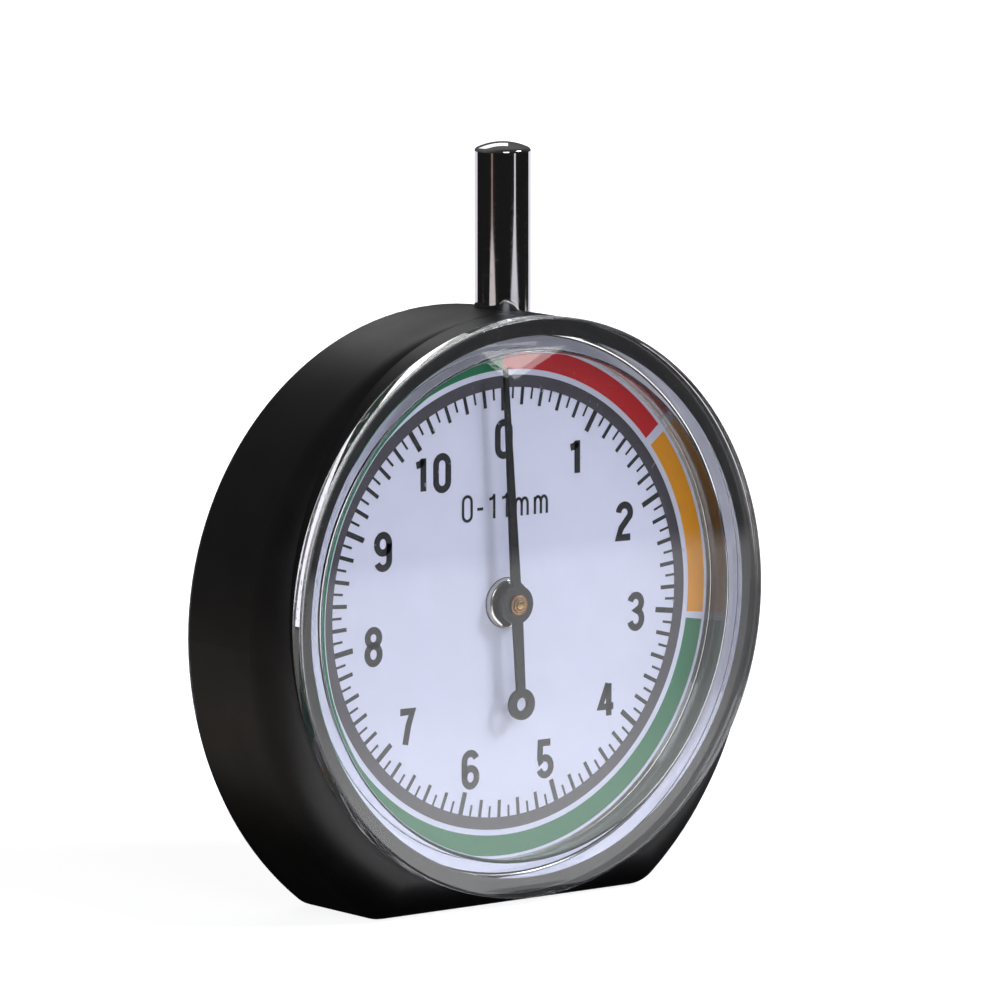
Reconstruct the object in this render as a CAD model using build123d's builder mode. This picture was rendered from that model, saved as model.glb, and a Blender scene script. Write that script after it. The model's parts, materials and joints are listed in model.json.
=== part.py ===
"""Tyre tread depth gauge: a round dial gauge on a flat base.

The user stands the base on the tread and presses the plunger. A rack on the plunger turns a
pinion on the pointer arbor, one full turn for the whole travel, and a thin probe comes out of
the base into the groove.

Frame, in millimetres: +Z up, the dial faces -Y, +X is to the right of the dial. The origin is
the centre of the flat base. "Forward" depths are measured from the middle plane of the case
towards the dial, so a piece at forward depth d lies on Plane.XZ.offset(d).
"""

import os
from math import asin, atan, cos, degrees, pi, radians, sin, sqrt, tan

from build123d import *

os.makedirs("parts", exist_ok=True)

# ---------------------------------------------------------------- travel and gearing
travel = 11.0                      # plunger stroke, which the dial reads in one turn
gear_module = 0.25
pinion_teeth = 14
pressure_angle = radians(20)
addendum_factor = 0.8              # stub teeth, so the small pinion isn't undercut
dedendum_factor = 1.0
tooth_backlash = 0.04              # taken off each tooth at the pitch line
pitch_radius = gear_module * pinion_teeth / 2
tooth_pitch = pi * gear_module
addendum = addendum_factor * gear_module
dedendum = dedendum_factor * gear_module

# ---------------------------------------------------------------- clearances
running_gap = 0.05                 # radial, between a moving piece and its guide
press_gap = 0.01                   # radial, between pieces pressed together
fit_gap = 0.05                     # between pieces of the case that are fitted by hand
stop_gap = 0.05                    # at each end of the slot that stops the plunger

# ---------------------------------------------------------------- plunger
rod_radius = 2.05
rod_spare = 0.95                   # stands this far out of the case when pressed home
rod_dome_height = 0.5
rack_width = 2.2                   # along Y
rack_spine = 0.7                   # from the tooth roots to the rod axis
rack_back_wall = 1.15              # from the rod axis to the plain side of the bar
rack_spigot_radius = 1.1
rack_spigot_length = 3.2
rack_spare_teeth = 1.5             # teeth past the ones that the pinion reaches
rack_foot = 1.95                   # below the teeth, where the probe is pinned
upper_bush_wall = 0.45

# ---------------------------------------------------------------- case
case_radius = 22.5                 # of the arc over the top
flank_flattening = 2.7             # the arcs down to the base are this much larger
base_cut = 2.15                    # cut off below the arcs to make the flat base
base_corner_radius = 2.5
front_edge_radius = 3.0
back_edge_radius = 0.9
edge_share = 0.48                  # of a wall, the most that a rounded edge may take
wall_at_dial = 0.3                 # between the plunger's upper bush and the dial
back_room = 2.2                    # between the plunger's upper bush and the back

# ---------------------------------------------------------------- crystal and dial
dial_rise = 1.55                   # of the dial's centre above the case's
dial_thickness = 0.4
dial_recess = 3.1                  # of the dial's face below the front of the case
dial_margin = 0.2
dial_foot_radius = 0.6
dial_foot_length = 1.1
dial_foot_inset = 6.6              # from the clear bore of the crystal
dial_foot_angles = (160, 340)
deck_thickness = 1.5               # of the wall behind the dial
crystal_step = 1.2                 # stands proud of the case
crystal_rim = 1.5                  # of the case, outside the crystal
crystal_wall = 1.5                 # thickness of the pane
crystal_seat_width = 1.4           # from the spigot to the edge of the crystal
spigot_wall = 1.0
crystal_edge_radius = 0.25
seat_margin = 0.1                  # how far the flange overhangs its seat on the case

# ---------------------------------------------------------------- back of the case
cavity_rise = 0.55                 # of the cavity's centre above the case's
cavity_wall = 6.5
cover_ledge = 1.0
cover_thickness = 1.0
cover_screw_count = 4
cover_screw_start = 45             # degrees, of the first screw
cover_screw_radius = 1.0
cover_screw_length = 4.0
cover_screw_head_radius = 1.9
cover_boss_radius = 1.9
cover_boss_inset = 0.5             # from the wall of the cavity
countersink = 45                   # degrees, half of the head's angle
slot_width = 0.45                  # driver slot of every screw
slot_depth = 0.4
slot_reach = 3                     # slot cutter's length, in head radii

# ---------------------------------------------------------------- probe and spring
probe_radius = 0.7
probe_recess = 0.05                # above the base at rest
probe_socket_depth = 1.85
probe_tip_chamfer = 0.2
cross_pin_radius = 0.45
cross_pin_rise = 1.0               # above the lower end of the rack
washer_radius = 1.7
washer_thickness = 0.5
spring_radius = 1.4                # of the coil, to the middle of the wire
spring_wire_radius = 0.15
spring_turns = 10
spring_seat_gap = 0.02
upper_bush_top_inset = 0.85        # below the top of the case
upper_bush_bottom_drop = 0.3       # into the cavity's outline
lower_bush_radius = 2.0
lower_bush_length = 2.2
lower_bush_recess = 0.05
groove_gap = 0.25                  # past what moves in a groove or beside a pillar

# ---------------------------------------------------------------- bridge behind the movement
bridge_front = -2.2                # forward depth of the face towards the dial
bridge_thickness = 0.8
bridge_margin = 1.0                # round the pillars
bridge_corner_radius = 2.0
pillar_radius = 1.2
pillar_spacing_share = 1.1875      # of the cavity's radius, apart along Z
pillar_drop_share = 0.15           # of the cavity's radius, below its centre
pillar_spigot_radius = 0.7
pillar_spigot_length = 0.9
bridge_screw_radius = 0.6
bridge_screw_length = 2.8
bridge_screw_head_radius = 1.15
bridge_screw_head_height = 0.5

# ---------------------------------------------------------------- arbor and pointer
arbor_radius = 0.5
arbor_shoulder_radius = 0.8
arbor_end_play = 0.08              # at each shoulder
arbor_rise = 1.8                   # of its front end above the dial's face
arbor_tail = 0.3                   # past the bridge
front_bush_radius = 1.8
front_bush_rise = 0.55             # above the dial's face
front_bush_edge = 0.2
rear_bush_radius = 1.2
rear_bush_proud = 0.1
pinion_face = 1.8                  # length of the teeth along the arbor
pointer_rise = 1.12                # above the dial's face
pointer_thickness = 0.3
pointer_hub_radius = 1.4
pointer_reach_inset = 1.4          # from the clear bore of the crystal to the tip
pointer_root_width = 0.8
pointer_tip_width = 0.28
pointer_tail_length = 7.3
pointer_tail_root_width = 0.86
pointer_tail_end_width = 0.66
pointer_ring_radius = 1.14
pointer_ring_hole_radius = 0.5
pointer_rest_angle = 3.4           # it rests a little before zero
pointer_bush_radius = 0.75
pointer_bush_rise = 0.82           # above the dial's face
pointer_bush_length = 0.83

# ---------------------------------------------------------------- worked-out depths
upper_bush_radius = rod_radius + upper_bush_wall
dial_seat = upper_bush_radius + wall_at_dial
dial_face = dial_seat + dial_thickness
case_front = dial_face + dial_recess
case_back = -(upper_bush_radius + back_room)
case_depth = case_front - case_back
crystal_front = case_front + crystal_step
deck_back = dial_seat - deck_thickness
cavity_front = deck_back
cover_front = case_back + cover_thickness
bridge_back = bridge_front - bridge_thickness
pointer_back = dial_face + pointer_rise
pointer_bush_back = dial_face + pointer_bush_rise
arbor_nose = dial_face + arbor_rise
front_bush_nose = dial_face + front_bush_rise

# ---------------------------------------------------------------- worked-out outlines
case_centre_height = case_radius - base_cut
flank_radius = case_radius + flank_flattening
flank_centre_x = case_radius - flank_radius
flank_angle = degrees(asin(case_centre_height / flank_radius))
base_half_width = flank_centre_x + sqrt(flank_radius**2 - case_centre_height**2)
case_top = case_centre_height + case_radius
dial_height = case_centre_height + dial_rise
crystal_radius = case_radius - crystal_rim
spigot_radius = crystal_radius - crystal_seat_width
crystal_bore = spigot_radius - spigot_wall
front_bore_radius = spigot_radius + fit_gap
dial_foot_offset = crystal_bore - dial_foot_inset
pointer_length = crystal_bore - pointer_reach_inset
cavity_height = case_centre_height + cavity_rise
cavity_radius = case_radius - cavity_wall
cover_radius = cavity_radius + cover_ledge
cover_screw_circle = cavity_radius - cover_boss_radius - cover_boss_inset

# ---------------------------------------------------------------- worked-out plunger
rack_pitch_x = pitch_radius
rack_tip_x = rack_pitch_x - addendum
rack_root_x = rack_pitch_x + dedendum
rod_axis_x = rack_root_x + rack_spine
rack_back_x = rod_axis_x + rack_back_wall
mesh_reach = sqrt((pitch_radius + addendum) ** 2 - rack_tip_x**2)
first_space = -int(mesh_reach / tooth_pitch + rack_spare_teeth)
last_space = int((travel + mesh_reach) / tooth_pitch + rack_spare_teeth)
rack_end = dial_height + first_space * tooth_pitch - rack_foot
rod_end = dial_height + last_space * tooth_pitch
rod_top = case_top + travel + rod_spare
rod_lowest = rod_end - travel
cross_pin_height = rack_end + cross_pin_rise
washer_bottom = rack_end - washer_thickness
upper_bush_top = case_top - upper_bush_top_inset
upper_bush_bottom = cavity_height + cavity_radius - upper_bush_bottom_drop
lower_bush_top = lower_bush_recess + lower_bush_length

# ---------------------------------------------------------------- worked-out bridge
pillar_x = rod_axis_x + rod_radius + groove_gap + pillar_radius
pillar_spacing_z = pillar_spacing_share * cavity_radius
pillar_mid_height = cavity_height - pillar_drop_share * cavity_radius
bridge_half_width = pillar_x + bridge_margin
bridge_half_height = pillar_spacing_z / 2 + pillar_radius + bridge_margin


def facing_front(x=0, height=0, lean=0):
    """The middle plane of the case, seen from the dial's side, with its origin moved.

    lean turns the plane's own up direction anticlockwise, in degrees.
    """
    turned = (cos(radians(lean)), 0, sin(radians(lean)))
    return Plane(origin=(x, 0, height), x_dir=turned, z_dir=(0, -1, 0))


arbor_axis = facing_front(height=dial_height)
cavity_plane = facing_front(height=cavity_height)
pillar_plane = facing_front(height=pillar_mid_height)
rod_plane = Plane(origin=(rod_axis_x, 0, 0))



def label_and_export(builder, name):
    """Name a finished piece and write its file."""
    builder.part.label = name
    export_step(builder.part, f"parts/{name}.step")


def fillet_within(radius, wall):
    """A fillet radius that its wall still allows."""
    return min(radius, edge_share * wall)


def slotted_screws(head_plane, sites, shank, head, sunk):
    """Screws driven forwards, towards the dial, with their heads at the back.

    shank and head are (radius, length) pairs. A sunk head tapers from the plane down to the
    shank; any other head stands behind the plane.
    """
    shank_radius, shank_length = shank
    head_radius, head_height = head
    slot_start = head_plane if sunk else head_plane.offset(-head_height)
    with BuildPart() as screws:
        with BuildSketch(head_plane):
            with Locations(*sites):
                Circle(shank_radius)
        extrude(amount=shank_length)
        with BuildSketch(head_plane):
            with Locations(*sites):
                Circle(head_radius)
        if sunk:
            head_depth = (head_radius - shank_radius) / tan(radians(countersink))
            extrude(amount=head_depth, taper=countersink)
        else:
            extrude(amount=-head_height)
        with BuildSketch(slot_start):
            with Locations(*sites):
                Rectangle(slot_reach * head_radius, slot_width)
        extrude(amount=slot_depth, mode=Mode.SUBTRACT)
    return screws


def sites_on_circle(radius, count, start):
    """Evenly spaced points on a circle, in the plane of a sketch."""
    steps = [radians(start + 360 * i / count) for i in range(count)]
    return [(radius * cos(a), radius * sin(a)) for a in steps]


cover_sites = sites_on_circle(cover_screw_circle, cover_screw_count, cover_screw_start)
pillar_sites = [
    (x, z) for x in (-pillar_x, pillar_x) for z in (-pillar_spacing_z / 2, pillar_spacing_z / 2)
]
foot_sites = [
    (dial_foot_offset * cos(radians(a)), dial_foot_offset * sin(radians(a)))
    for a in dial_foot_angles
]

# ================================================================ case
with BuildPart() as case_body:
    # Outline: a round case, a little taller than wide, cut off flat at the base.
    with BuildSketch(Plane.XZ.offset(case_back)) as case_outline:
        with BuildLine():
            Line((base_half_width, 0), (-base_half_width, 0))
            CenterArc((-flank_centre_x, case_centre_height), flank_radius, 180, flank_angle)
            CenterArc((0, case_centre_height), case_radius, 0, 180)
            CenterArc((flank_centre_x, case_centre_height), flank_radius, 0, -flank_angle)
        make_face()
        fillet(case_outline.vertices().group_by(Axis.Y)[0], base_corner_radius)
    extrude(amount=case_depth)
    front_edges = case_body.faces().sort_by(Axis.Y)[0].edges()
    fillet(front_edges, fillet_within(front_edge_radius, case_depth))
    back_edges = case_body.faces().sort_by(Axis.Y)[-1].edges()
    fillet(back_edges, fillet_within(back_edge_radius, case_depth))
    # Round seat for the crystal, flush with the front face.
    with BuildSketch(arbor_axis.offset(deck_back)):
        Circle(crystal_radius - seat_margin)
    extrude(amount=case_front - deck_back)
    # Front bore down to the seat of the dial.
    with BuildSketch(arbor_axis.offset(dial_seat)):
        Circle(front_bore_radius)
    extrude(amount=case_front - dial_seat, mode=Mode.SUBTRACT)
    # Cavity for the movement, its cover's recess, and the bosses for the cover's screws.
    with BuildSketch(cavity_plane.offset(case_back)):
        Circle(cover_radius + fit_gap)
    extrude(amount=cover_thickness, mode=Mode.SUBTRACT)
    with BuildSketch(cavity_plane.offset(cover_front)):
        Circle(cavity_radius)
        with Locations(*cover_sites):
            Circle(cover_boss_radius, mode=Mode.SUBTRACT)
    extrude(amount=cavity_front - cover_front, mode=Mode.SUBTRACT)
    with BuildSketch(cavity_plane.offset(cover_front)):
        with Locations(*cover_sites):
            Circle(cover_screw_radius + press_gap)
    extrude(amount=cover_screw_length, mode=Mode.SUBTRACT)
    # Guides for the plunger above and the probe below. Each runs on as a groove in the wall
    # behind the dial, as far as what moves in it reaches.
    with BuildSketch(rod_plane.offset(rod_lowest - groove_gap)):
        Circle(upper_bush_radius + press_gap)
    extrude(amount=upper_bush_top - rod_lowest + groove_gap, mode=Mode.SUBTRACT)
    with BuildSketch(rod_plane.offset(upper_bush_bottom)):
        Circle(rod_radius + running_gap)
    extrude(amount=case_top - upper_bush_bottom, mode=Mode.SUBTRACT)
    with BuildSketch(rod_plane):
        Circle(lower_bush_radius + press_gap)
    extrude(amount=rack_end + groove_gap, mode=Mode.SUBTRACT)
    # Holes in the wall behind the dial: front bush, dial feet, pillar spigots.
    with BuildSketch(arbor_axis.offset(cavity_front)):
        Circle(front_bush_radius + press_gap)
        with Locations(*foot_sites):
            Circle(dial_foot_radius + fit_gap)
    extrude(amount=dial_seat - cavity_front, mode=Mode.SUBTRACT)
    with BuildSketch(pillar_plane.offset(cavity_front)):
        with Locations(*pillar_sites):
            Circle(pillar_spigot_radius + press_gap)
    extrude(amount=pillar_spigot_length + fit_gap, mode=Mode.SUBTRACT)
label_and_export(case_body, "case_body")

with BuildPart() as back_cover:
    with BuildSketch(cavity_plane.offset(case_back)):
        Circle(cover_radius)
    extrude(amount=cover_thickness)
    with BuildSketch(cavity_plane.offset(case_back)):
        with Locations(*cover_sites):
            Circle(cover_screw_radius + fit_gap)
    extrude(amount=cover_thickness, mode=Mode.SUBTRACT)
    with BuildSketch(cavity_plane.offset(case_back)):
        with Locations(*cover_sites):
            Circle(cover_screw_head_radius + press_gap)
    extrude(
        amount=(cover_screw_head_radius - cover_screw_radius) / tan(radians(countersink)),
        taper=countersink,
        mode=Mode.SUBTRACT,
    )
label_and_export(back_cover, "back_cover")

back_cover_screws = slotted_screws(
    cavity_plane.offset(case_back),
    cover_sites,
    (cover_screw_radius, cover_screw_length),
    (cover_screw_head_radius, 0),
    sunk=True,
)
label_and_export(back_cover_screws, "back_cover_screws")

# ================================================================ crystal and dial
with BuildPart() as crystal:
    with BuildSketch(arbor_axis.offset(case_front)):
        Circle(crystal_radius)
    extrude(amount=crystal_front - case_front)
    fillet(crystal.faces().sort_by(Axis.Y)[0].edges(), crystal_edge_radius)
    with BuildSketch(arbor_axis.offset(dial_face)):
        Circle(spigot_radius)
    extrude(amount=case_front - dial_face)
    with BuildSketch(arbor_axis.offset(dial_face)):
        Circle(crystal_bore)
    extrude(amount=crystal_front - crystal_wall - dial_face, mode=Mode.SUBTRACT)
label_and_export(crystal, "crystal")

with BuildPart() as dial_plate:
    with BuildSketch(arbor_axis.offset(dial_seat)):
        Circle(front_bore_radius - dial_margin)
        Circle(front_bush_radius + fit_gap, mode=Mode.SUBTRACT)
    extrude(amount=dial_thickness)
label_and_export(dial_plate, "dial_plate")

with BuildPart() as dial_feet:
    with BuildSketch(arbor_axis.offset(dial_seat)):
        with Locations(*foot_sites):
            Circle(dial_foot_radius)
    extrude(amount=-dial_foot_length)
label_and_export(dial_feet, "dial_feet")

# ================================================================ plunger
with BuildPart() as plunger_rod:
    dome_sphere_radius = (rod_radius**2 + rod_dome_height**2) / (2 * rod_dome_height)
    # Half section, turned about the rod's own axis.
    with BuildSketch(facing_front(x=rod_axis_x)):
        with BuildLine():
            Line((0, rod_end), (rod_radius, rod_end))
            Line((rod_radius, rod_end), (rod_radius, rod_top - rod_dome_height))
            RadiusArc(
                (rod_radius, rod_top - rod_dome_height), (0, rod_top), -dome_sphere_radius
            )
            Line((0, rod_top), (0, rod_end))
        make_face()
    revolve(axis=Axis((rod_axis_x, 0, 0), (0, 0, 1)))
    with BuildSketch(rod_plane.offset(rod_end)):
        Circle(rack_spigot_radius + press_gap)
    extrude(amount=rack_spigot_length + press_gap, mode=Mode.SUBTRACT)
label_and_export(plunger_rod, "plunger_rod")

with BuildPart() as rack_bar:
    with BuildSketch(Plane.XY.offset(rack_end)):
        with Locations(((rack_tip_x + rack_back_x) / 2, 0)):
            Rectangle(rack_back_x - rack_tip_x, rack_width)
    extrude(amount=rod_end - rack_end)
    with BuildSketch(rod_plane.offset(rod_end)):
        Circle(rack_spigot_radius)
    extrude(amount=rack_spigot_length)
    # Tooth spaces, cut from the side that faces the arbor. A tooth is centred at dial height.
    space_at_tip = tooth_pitch / 2 + tooth_backlash + 2 * addendum * tan(pressure_angle)
    space_at_root = tooth_pitch / 2 + tooth_backlash - 2 * dedendum * tan(pressure_angle)
    with BuildSketch(Plane.XZ.offset(-rack_width / 2)):
        for i in range(first_space, last_space):
            middle = dial_height + (i + 0.5) * tooth_pitch
            with BuildLine():
                Polyline(
                    (rack_tip_x - addendum, middle + space_at_tip / 2),
                    (rack_tip_x, middle + space_at_tip / 2),
                    (rack_root_x, middle + space_at_root / 2),
                    (rack_root_x, middle - space_at_root / 2),
                    (rack_tip_x, middle - space_at_tip / 2),
                    (rack_tip_x - addendum, middle - space_at_tip / 2),
                    close=True,
                )
            make_face()
    extrude(amount=rack_width, mode=Mode.SUBTRACT)
    with BuildSketch(rod_plane.offset(rack_end)):
        Circle(probe_radius + press_gap)
    extrude(amount=probe_socket_depth + press_gap, mode=Mode.SUBTRACT)
    with BuildSketch(Plane.XZ.offset(-rack_width / 2)):
        with Locations((rod_axis_x, cross_pin_height)):
            Circle(cross_pin_radius + press_gap)
    extrude(amount=rack_width, mode=Mode.SUBTRACT)
label_and_export(rack_bar, "rack_bar")

with BuildPart() as probe_pin:
    with BuildSketch(rod_plane.offset(probe_recess)):
        Circle(probe_radius)
    extrude(amount=rack_end + probe_socket_depth - probe_recess)
    fillet(probe_pin.faces().sort_by(Axis.Z)[0].edges(), probe_tip_chamfer)
    with BuildSketch(Plane.XZ.offset(-probe_radius)):
        with Locations((rod_axis_x, cross_pin_height)):
            Circle(cross_pin_radius + press_gap)
    extrude(amount=2 * probe_radius, mode=Mode.SUBTRACT)
label_and_export(probe_pin, "probe_pin")

# The cross pin locks the probe in the bar and runs in the bridge's slot, which keeps the
# plunger from turning and stops it at both ends of its travel.
with BuildPart() as cross_pin:
    with BuildSketch(Plane.XZ.offset(rack_width / 2)):
        with Locations((rod_axis_x, cross_pin_height)):
            Circle(cross_pin_radius)
    extrude(amount=-(rack_width / 2 - bridge_back))
label_and_export(cross_pin, "cross_pin")

with BuildPart() as spring_washer:
    with BuildSketch(rod_plane.offset(washer_bottom)):
        Circle(washer_radius)
        Circle(probe_radius + press_gap, mode=Mode.SUBTRACT)
    extrude(amount=washer_thickness)
label_and_export(spring_washer, "spring_washer")

spring_start = lower_bush_top + spring_wire_radius + spring_seat_gap
spring_end = washer_bottom - spring_wire_radius - spring_seat_gap
with BuildPart() as return_spring:
    spring_height = spring_end - spring_start
    with BuildLine():
        spring_line = Helix(
            pitch=spring_height / spring_turns,
            height=spring_height,
            radius=spring_radius,
            center=(rod_axis_x, 0, spring_start),
        )
    with BuildSketch(Plane(spring_line @ 0, z_dir=spring_line % 0)):
        Circle(spring_wire_radius)
    sweep(path=spring_line, is_frenet=True)
label_and_export(return_spring, "return_spring")

# ================================================================ guide bushes
with BuildPart() as upper_guide_bush:
    with BuildSketch(rod_plane.offset(upper_bush_bottom)):
        Circle(upper_bush_radius)
        Circle(rod_radius + running_gap, mode=Mode.SUBTRACT)
    extrude(amount=upper_bush_top - upper_bush_bottom)
label_and_export(upper_guide_bush, "upper_guide_bush")

with BuildPart() as lower_guide_bush:
    with BuildSketch(rod_plane.offset(lower_bush_recess)):
        Circle(lower_bush_radius)
        Circle(probe_radius + running_gap, mode=Mode.SUBTRACT)
    extrude(amount=lower_bush_length)
label_and_export(lower_guide_bush, "lower_guide_bush")

# ================================================================ bridge and pillars
slot_half = cross_pin_radius + running_gap
slot_top = cross_pin_height + cross_pin_radius + stop_gap
slot_bottom = cross_pin_height - travel - cross_pin_radius - stop_gap
with BuildPart() as bridge_plate:
    with BuildSketch(Plane.XZ.offset(bridge_back)):
        with Locations((0, pillar_mid_height)):
            RectangleRounded(
                2 * bridge_half_width, 2 * bridge_half_height, bridge_corner_radius
            )
        # Room for the bosses of the cover's screws.
        with Locations((0, cavity_height)):
            with Locations(*cover_sites):
                Circle(cover_boss_radius + groove_gap, mode=Mode.SUBTRACT)
        with Locations((rod_axis_x, (slot_top + slot_bottom) / 2)):
            SlotOverall(
                slot_top - slot_bottom, 2 * slot_half, rotation=90, mode=Mode.SUBTRACT
            )
        with Locations((0, dial_height)):
            Circle(rear_bush_radius + press_gap, mode=Mode.SUBTRACT)
        with Locations((0, pillar_mid_height)):
            with Locations(*pillar_sites):
                Circle(bridge_screw_radius + fit_gap, mode=Mode.SUBTRACT)
    extrude(amount=bridge_thickness)
label_and_export(bridge_plate, "bridge_plate")

with BuildPart() as bridge_pillars:
    with BuildSketch(pillar_plane.offset(bridge_front)):
        with Locations(*pillar_sites):
            Circle(pillar_radius)
    extrude(amount=cavity_front - bridge_front)
    with BuildSketch(pillar_plane.offset(cavity_front)):
        with Locations(*pillar_sites):
            Circle(pillar_spigot_radius)
    extrude(amount=pillar_spigot_length)
    with BuildSketch(pillar_plane.offset(bridge_front)):
        with Locations(*pillar_sites):
            Circle(bridge_screw_radius + press_gap)
    extrude(amount=bridge_screw_length - bridge_thickness + fit_gap, mode=Mode.SUBTRACT)
label_and_export(bridge_pillars, "bridge_pillars")

bridge_screws = slotted_screws(
    pillar_plane.offset(bridge_back),
    pillar_sites,
    (bridge_screw_radius, bridge_screw_length),
    (bridge_screw_head_radius, bridge_screw_head_height),
    sunk=False,
)
label_and_export(bridge_screws, "bridge_screws")

with BuildPart() as front_bush:
    with BuildSketch(arbor_axis.offset(cavity_front)):
        Circle(front_bush_radius)
    extrude(amount=front_bush_nose - cavity_front)
    fillet(front_bush.faces().sort_by(Axis.Y)[0].edges(), front_bush_edge)
    with BuildSketch(arbor_axis.offset(cavity_front)):
        Circle(arbor_radius + running_gap)
    extrude(amount=front_bush_nose - cavity_front, mode=Mode.SUBTRACT)
label_and_export(front_bush, "front_bush")

with BuildPart() as rear_bush:
    with BuildSketch(arbor_axis.offset(bridge_front)):
        Circle(rear_bush_radius)
        Circle(arbor_radius + running_gap, mode=Mode.SUBTRACT)
    extrude(amount=-(bridge_thickness + rear_bush_proud))
label_and_export(rear_bush, "rear_bush")

# ================================================================ arbor, pinion and pointer
with BuildPart() as arbor:
    with BuildSketch(arbor_axis.offset(bridge_back - arbor_tail)):
        Circle(arbor_radius)
    extrude(amount=arbor_nose - bridge_back + arbor_tail)
    with BuildSketch(arbor_axis.offset(bridge_front + arbor_end_play)):
        Circle(arbor_shoulder_radius)
    extrude(amount=cavity_front - bridge_front - 2 * arbor_end_play)
label_and_export(arbor, "arbor")

base_circle = pitch_radius * cos(pressure_angle)
pinion_tip = pitch_radius + addendum
pinion_root = pitch_radius - dedendum
tooth_angle = 2 * pi / pinion_teeth


def involute_angle(radius):
    """The angle that the involute has turned through where it reaches a radius."""
    roll = sqrt((radius / base_circle) ** 2 - 1)
    return roll - atan(roll)


half_at_pitch = (tooth_pitch / 2 - tooth_backlash) / 2 / pitch_radius


def flank_point(radius, side, centre_angle):
    """A point on one flank of a tooth. Below the base circle the flank is radial."""
    lean = involute_angle(pitch_radius) - involute_angle(max(radius, base_circle))
    angle = centre_angle + side * (half_at_pitch + lean)
    return (radius * cos(angle), radius * sin(angle))


with BuildPart() as pinion:
    pinion_mid = base_circle + 0.5 * (pinion_tip - base_circle)
    with BuildSketch(arbor_axis.offset(-pinion_face / 2)):
        Circle(pinion_root)
        for i in range(pinion_teeth):
            # A tooth space faces +X, where the rack is.
            centre = (i + 0.5) * tooth_angle
            with BuildLine():
                Polyline(
                    flank_point(pinion_root - addendum, -1, centre),
                    flank_point(pinion_root, -1, centre),
                    flank_point(base_circle, -1, centre),
                )
                ThreePointArc(
                    flank_point(base_circle, -1, centre),
                    flank_point(pinion_mid, -1, centre),
                    flank_point(pinion_tip, -1, centre),
                )
                Line(flank_point(pinion_tip, -1, centre), flank_point(pinion_tip, 1, centre))
                ThreePointArc(
                    flank_point(pinion_tip, 1, centre),
                    flank_point(pinion_mid, 1, centre),
                    flank_point(base_circle, 1, centre),
                )
                Polyline(
                    flank_point(base_circle, 1, centre),
                    flank_point(pinion_root, 1, centre),
                    flank_point(pinion_root - addendum, 1, centre),
                    flank_point(pinion_root - addendum, -1, centre),
                )
            make_face()
        Circle(arbor_shoulder_radius + press_gap, mode=Mode.SUBTRACT)
    extrude(amount=pinion_face)
label_and_export(pinion, "pinion")

pointer_plane = facing_front(height=dial_height, lean=pointer_rest_angle).offset(pointer_back)
with BuildPart() as pointer:
    with BuildSketch(pointer_plane):
        Circle(pointer_hub_radius)
        with BuildLine():
            Polyline(
                (-pointer_root_width / 2, 0),
                (-pointer_tip_width / 2, pointer_length),
                (pointer_tip_width / 2, pointer_length),
                (pointer_root_width / 2, 0),
                close=True,
            )
        make_face()
        with BuildLine():
            Polyline(
                (-pointer_tail_root_width / 2, 0),
                (-pointer_tail_end_width / 2, -pointer_tail_length),
                (pointer_tail_end_width / 2, -pointer_tail_length),
                (pointer_tail_root_width / 2, 0),
                close=True,
            )
        make_face()
        with Locations((0, -pointer_tail_length)):
            Circle(pointer_ring_radius)
            Circle(pointer_ring_hole_radius, mode=Mode.SUBTRACT)
        Circle(pointer_bush_radius + press_gap, mode=Mode.SUBTRACT)
    extrude(amount=pointer_thickness)
label_and_export(pointer, "pointer")

# Brass bush riveted into the pointer and pressed on the arbor.
with BuildPart() as pointer_bush:
    with BuildSketch(arbor_axis.offset(pointer_bush_back)):
        Circle(pointer_bush_radius)
        Circle(arbor_radius + press_gap, mode=Mode.SUBTRACT)
    extrude(amount=pointer_bush_length)
label_and_export(pointer_bush, "pointer_bush")
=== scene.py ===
"""Looks of the tyre tread gauge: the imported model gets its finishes, and a studio.

The crystal, the plunger rod, the arbor, its bush and the return spring are modelled again here in
finer detail, and the dial gets its printing. The frame is the CAD's, in metres: +Z up, the dial
faces -Y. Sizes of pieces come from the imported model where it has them.
"""

import bmesh
import bpy
import json
from math import atan2, cos, pi, radians, sin, tau
from mathutils import Matrix, Vector


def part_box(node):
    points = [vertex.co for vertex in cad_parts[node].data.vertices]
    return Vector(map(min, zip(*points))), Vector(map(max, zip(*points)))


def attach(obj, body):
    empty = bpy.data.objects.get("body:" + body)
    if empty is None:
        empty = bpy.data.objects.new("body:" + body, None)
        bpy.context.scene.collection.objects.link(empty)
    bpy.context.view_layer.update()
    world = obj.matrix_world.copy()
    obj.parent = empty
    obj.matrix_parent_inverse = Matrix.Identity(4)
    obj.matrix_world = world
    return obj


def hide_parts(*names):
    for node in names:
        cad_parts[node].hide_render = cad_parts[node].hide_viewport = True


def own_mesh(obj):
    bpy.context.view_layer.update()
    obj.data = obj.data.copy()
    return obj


MM = 0.001

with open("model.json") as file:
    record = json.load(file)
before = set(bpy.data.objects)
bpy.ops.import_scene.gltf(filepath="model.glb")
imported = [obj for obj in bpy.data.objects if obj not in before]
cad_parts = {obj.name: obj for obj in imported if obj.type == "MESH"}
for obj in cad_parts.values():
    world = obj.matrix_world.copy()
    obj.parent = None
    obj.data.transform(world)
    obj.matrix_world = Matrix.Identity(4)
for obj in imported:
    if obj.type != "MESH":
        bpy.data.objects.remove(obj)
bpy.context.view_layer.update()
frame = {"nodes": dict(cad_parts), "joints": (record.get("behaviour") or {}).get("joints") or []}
scene = bpy.context.scene
joints = {j["name"]: j for j in frame["joints"]}

# ------------------------------------------------------------------ sizes
dial_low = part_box("dial_plate")[0]
crystal_low, crystal_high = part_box("crystal")
rod_low, rod_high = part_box("plunger_rod")
spring_low, spring_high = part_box("return_spring")
arbor_low, arbor_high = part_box("arbor")

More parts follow.
